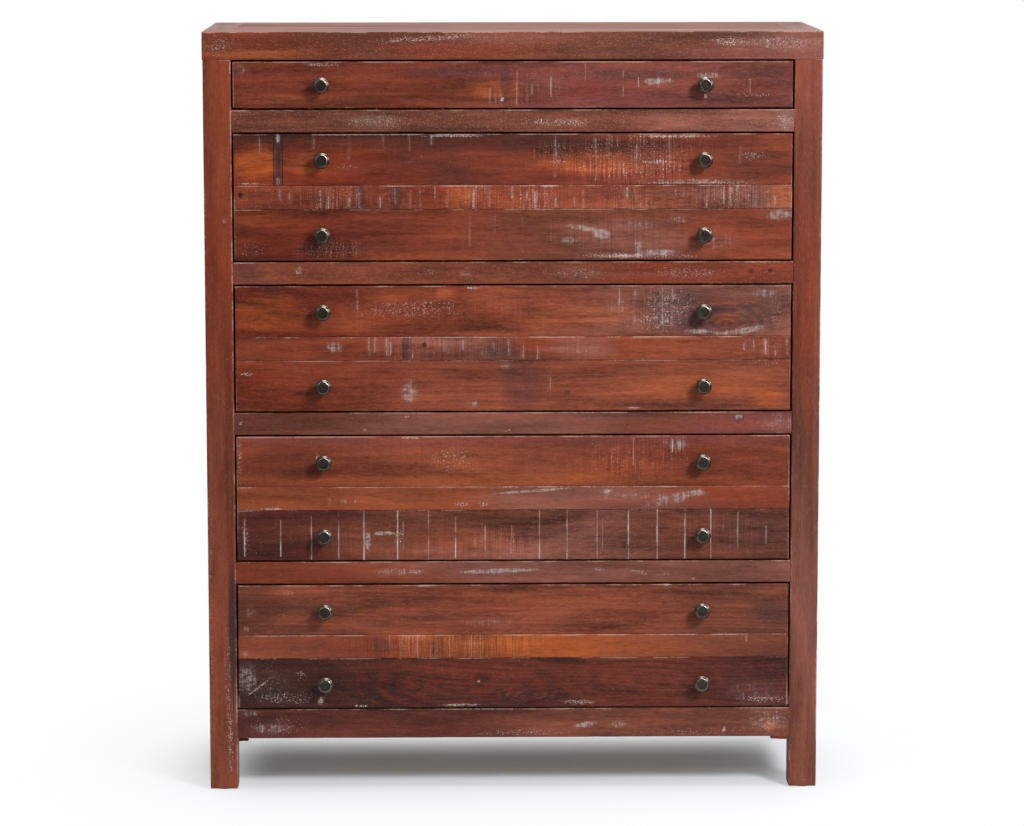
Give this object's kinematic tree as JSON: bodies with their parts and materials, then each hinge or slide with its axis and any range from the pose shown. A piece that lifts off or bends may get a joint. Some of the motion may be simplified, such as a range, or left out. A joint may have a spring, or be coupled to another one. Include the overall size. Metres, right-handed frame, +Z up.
{
  "type": "chest of drawers",
  "caption": "Tall floor-standing chest of drawers in reclaimed timber with a shallow drawer over deep ones, round metal knobs and square post legs; each drawer slides out on side runners.",
  "frame": {"origin": "on the floor under the middle of the chest's box, knobs included", "axes": "+X to the right as seen from the front, +Y to the back (drawers open along -Y), +Z up"},
  "size_m": [1.016, 0.431, 1.2629],
  "materials": {
    "frame_wood": "worn satin stain",
    "top_wood": "worn satin stain",
    "front_wood": "worn satin stain",
    "side_wood": "worn satin stain",
    "back_wood": "thin matt stain",
    "box_wood": "bare planed pine",
    "bottom_ply": "bare plywood",
    "runner_wood": "waxed hardwood",
    "knob_bronze": "dark antique bronze",
    "screw_steel": "zinc plated",
    "glide_plastic": "moulded matt"
  },
  "bodies": {
    "case": {"post_front_left": "frame_wood", "post_front_right": "frame_wood", "post_rear_left": "frame_wood", "post_rear_right": "frame_wood", "top_front_board": "top_wood", "top_cleat_left": "top_wood", "top_cleat_right": "top_wood", "top_panel_boards": "top_wood", "top_dowels": "runner_wood", "front_rail_1": "frame_wood", "front_rail_2": "frame_wood", "front_rail_3": "frame_wood", "front_rail_4": "frame_wood", "bottom_rail": "frame_wood", "side_rails": "frame_wood", "side_boards_left": "side_wood", "side_boards_right": "side_wood", "back_rails": "back_wood", "back_boards": "back_wood", "drawer_runners": "runner_wood", "runner_screws": "screw_steel", "foot_glides": "glide_plastic"},
    "drawer_1": {"drawer_1_front": "front_wood", "drawer_1_sides": "box_wood", "drawer_1_ends": "box_wood", "drawer_1_bottom": "bottom_ply", "drawer_1_knobs": "knob_bronze", "drawer_1_screws": "screw_steel"},
    "drawer_2": {"drawer_2_front_upper": "front_wood", "drawer_2_front_middle": "front_wood", "drawer_2_front_lower": "front_wood", "drawer_2_sides": "box_wood", "drawer_2_ends": "box_wood", "drawer_2_bottom": "bottom_ply", "drawer_2_knobs": "knob_bronze", "drawer_2_screws": "screw_steel"},
    "drawer_3": {"drawer_3_front_upper": "front_wood", "drawer_3_front_middle": "front_wood", "drawer_3_front_lower": "front_wood", "drawer_3_sides": "box_wood", "drawer_3_ends": "box_wood", "drawer_3_bottom": "bottom_ply", "drawer_3_knobs": "knob_bronze", "drawer_3_screws": "screw_steel"},
    "drawer_4": {"drawer_4_front_upper": "front_wood", "drawer_4_front_middle": "front_wood", "drawer_4_front_lower": "front_wood", "drawer_4_sides": "box_wood", "drawer_4_ends": "box_wood", "drawer_4_bottom": "bottom_ply", "drawer_4_knobs": "knob_bronze", "drawer_4_screws": "screw_steel"},
    "drawer_5": {"drawer_5_front_upper": "front_wood", "drawer_5_front_middle": "front_wood", "drawer_5_front_lower": "front_wood", "drawer_5_sides": "box_wood", "drawer_5_ends": "box_wood", "drawer_5_bottom": "bottom_ply", "drawer_5_knobs": "knob_bronze", "drawer_5_screws": "screw_steel"}
  },
  "joints": [
    {"name": "drawer_1_slide", "type": "slide", "parent": "case", "child": "drawer_1", "axis": [0, -1, 0], "range_m": [0, 0.28]},
    {"name": "drawer_2_slide", "type": "slide", "parent": "case", "child": "drawer_2", "axis": [0, -1, 0], "range_m": [0, 0.28]},
    {"name": "drawer_3_slide", "type": "slide", "parent": "case", "child": "drawer_3", "axis": [0, -1, 0], "range_m": [0, 0.28]},
    {"name": "drawer_4_slide", "type": "slide", "parent": "case", "child": "drawer_4", "axis": [0, -1, 0], "range_m": [0, 0.28]},
    {"name": "drawer_5_slide", "type": "slide", "parent": "case", "child": "drawer_5", "axis": [0, -1, 0], "range_m": [0, 0.28]}
  ]
}
